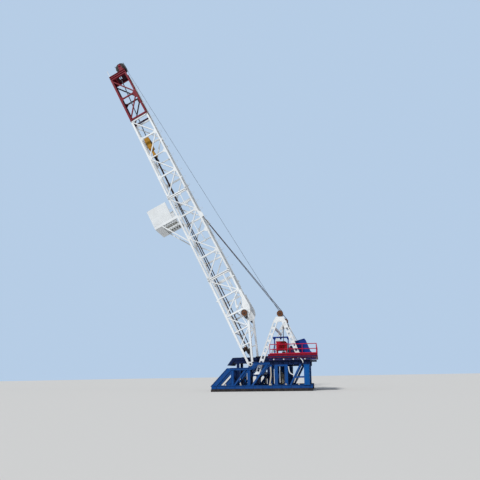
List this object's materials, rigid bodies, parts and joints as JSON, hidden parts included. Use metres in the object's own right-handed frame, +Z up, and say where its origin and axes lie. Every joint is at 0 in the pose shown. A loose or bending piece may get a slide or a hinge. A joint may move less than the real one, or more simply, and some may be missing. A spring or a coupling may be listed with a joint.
{
  "type": "oil drilling rig",
  "caption": "Land drilling rig with a leaning lattice mast hinged on an open steel base, A-frame, racking board, crown sheaves and travelling block.",
  "frame": {"origin": "on the underside of the base spreader, on the ground in the middle of the rig, 0.18 m from under the mast foot pins towards the winch", "axes": "+X along the base towards the winch platform, +Y across the rig away from the near side, +Z up"},
  "size_m": [23.5403, 8.4, 38.7104],
  "materials": {
    "timber_skid": "dark oiled timber",
    "navy_paint": "satin, weathered",
    "blue_paint": "gloss, dusty",
    "bright_blue": "gloss",
    "red_deck": "satin",
    "red_rail": "gloss",
    "dark_steel": "oily",
    "white_paint": "gloss, light dust",
    "brown_steel": "rusty, greased",
    "winch_blue": "gloss",
    "cabinet_red": "satin",
    "red_paint": "gloss",
    "black_sheave": "greased",
    "wind_wall": "corrugated, satin",
    "yellow_paint": "chipped, oily",
    "wire_rope": "greased wire",
    "dark_rope": "black grease"
  },
  "bodies": {
    "base": {"skid_near": "timber_skid", "skid_far": "timber_skid", "base_spreader": "navy_paint", "side_near_outer": "blue_paint", "side_near_inner": "blue_paint", "side_far_inner": "blue_paint", "side_far_outer": "blue_paint", "ties_near": "navy_paint", "ties_far": "navy_paint", "deck_girders": "navy_paint", "end_posts": "bright_blue", "deck_joists": "navy_paint", "winch_deck": "red_deck", "deck_rail": "red_rail", "floor_frame": "navy_paint", "drill_floor": "navy_paint", "rotary_table": "dark_steel", "shoe_near": "blue_paint", "shoe_far": "blue_paint", "gin_near": "white_paint", "gin_far": "white_paint", "gin_tie": "white_paint", "winch_housing": "winch_blue", "winch_bed": "navy_paint", "red_cabinet": "cabinet_red", "blue_beam": "winch_blue", "line_guides": "dark_steel"},
    "mast": {"lower_near": "white_paint", "lower_far": "white_paint", "lower_back": "white_paint", "middle_near": "white_paint", "middle_far": "white_paint", "middle_back": "white_paint", "upper_near": "white_paint", "upper_far": "white_paint", "upper_back": "white_paint", "crown_near": "red_paint", "crown_far": "red_paint", "crown_back": "red_paint", "crown_frame": "red_paint", "crown_bearings": "red_paint", "lightning_rod": "white_paint", "foot_sheave_brackets": "dark_steel", "board_floor": "white_paint", "board_walls": "wind_wall", "board_braces": "white_paint", "drilling_lines": "wire_rope", "sling_lines": "dark_rope", "raising_lines": "dark_rope", "fast_line": "wire_rope", "ladder": "white_paint"},
    "block": {"travelling_block": "yellow_paint", "hook_yoke": "yellow_paint"},
    "crown_sheaves": {"crown_sheave_set": "black_sheave"},
    "knee_sheave_n": {"knee_sheave_near": "brown_steel"},
    "knee_sheave_f": {"knee_sheave_far": "brown_steel"},
    "foot_sheave_n": {"foot_sheave_near": "brown_steel"},
    "foot_sheave_f": {"foot_sheave_far": "brown_steel"},
    "gin_sheave_n": {"gin_sheave_near": "brown_steel"},
    "gin_sheave_f": {"gin_sheave_far": "brown_steel"}
  },
  "joints": [
    {"name": "mast_raise", "type": "hinge", "parent": "base", "child": "mast", "pos_m": [-0.18, 0, 2.65], "axis": [0, 1, 0], "range_deg": [-58, 25.5], "deforming": ["raising_lines", "fast_line"]},
    {"name": "block_travel", "type": "slide", "parent": "mast", "child": "block", "axis": [-0.4305, 0, 0.9026], "range_m": [-5.3, 2.4], "deforming": ["drilling_lines", "sling_lines"]},
    {"name": "crown_sheaves_spin", "type": "hinge", "parent": "mast", "child": "crown_sheaves", "pos_m": [-15.52856, 0, 38.15055], "axis": [0, 1, 0], "continuous": true},
    {"name": "knee_sheave_n_spin", "type": "hinge", "parent": "mast", "child": "knee_sheave_n", "pos_m": [-0.76761, -2.05, 7.85397], "axis": [0, 1, 0], "continuous": true},
    {"name": "knee_sheave_f_spin", "type": "hinge", "parent": "mast", "child": "knee_sheave_f", "pos_m": [-0.76761, 2.05, 7.85397], "axis": [0, 1, 0], "continuous": true},
    {"name": "foot_sheave_n_spin", "type": "hinge", "parent": "mast", "child": "foot_sheave_n", "pos_m": [-0.81647, -1.5, 4.26313], "axis": [0, 1, 0], "continuous": true},
    {"name": "foot_sheave_f_spin", "type": "hinge", "parent": "mast", "child": "foot_sheave_f", "pos_m": [-0.81647, 1.5, 4.26313], "axis": [0, 1, 0], "continuous": true},
    {"name": "gin_sheave_n_spin", "type": "hinge", "parent": "base", "child": "gin_sheave_n", "pos_m": [2.98, -3.4, 7.48], "axis": [0, 1, 0], "continuous": true},
    {"name": "gin_sheave_f_spin", "type": "hinge", "parent": "base", "child": "gin_sheave_f", "pos_m": [2.98, 3.4, 7.48], "axis": [0, 1, 0], "continuous": true}
  ],
  "couplings": [
    {"joint": "block_travel", "follows": "mast_raise", "m_per_rad": 5}
  ]
}
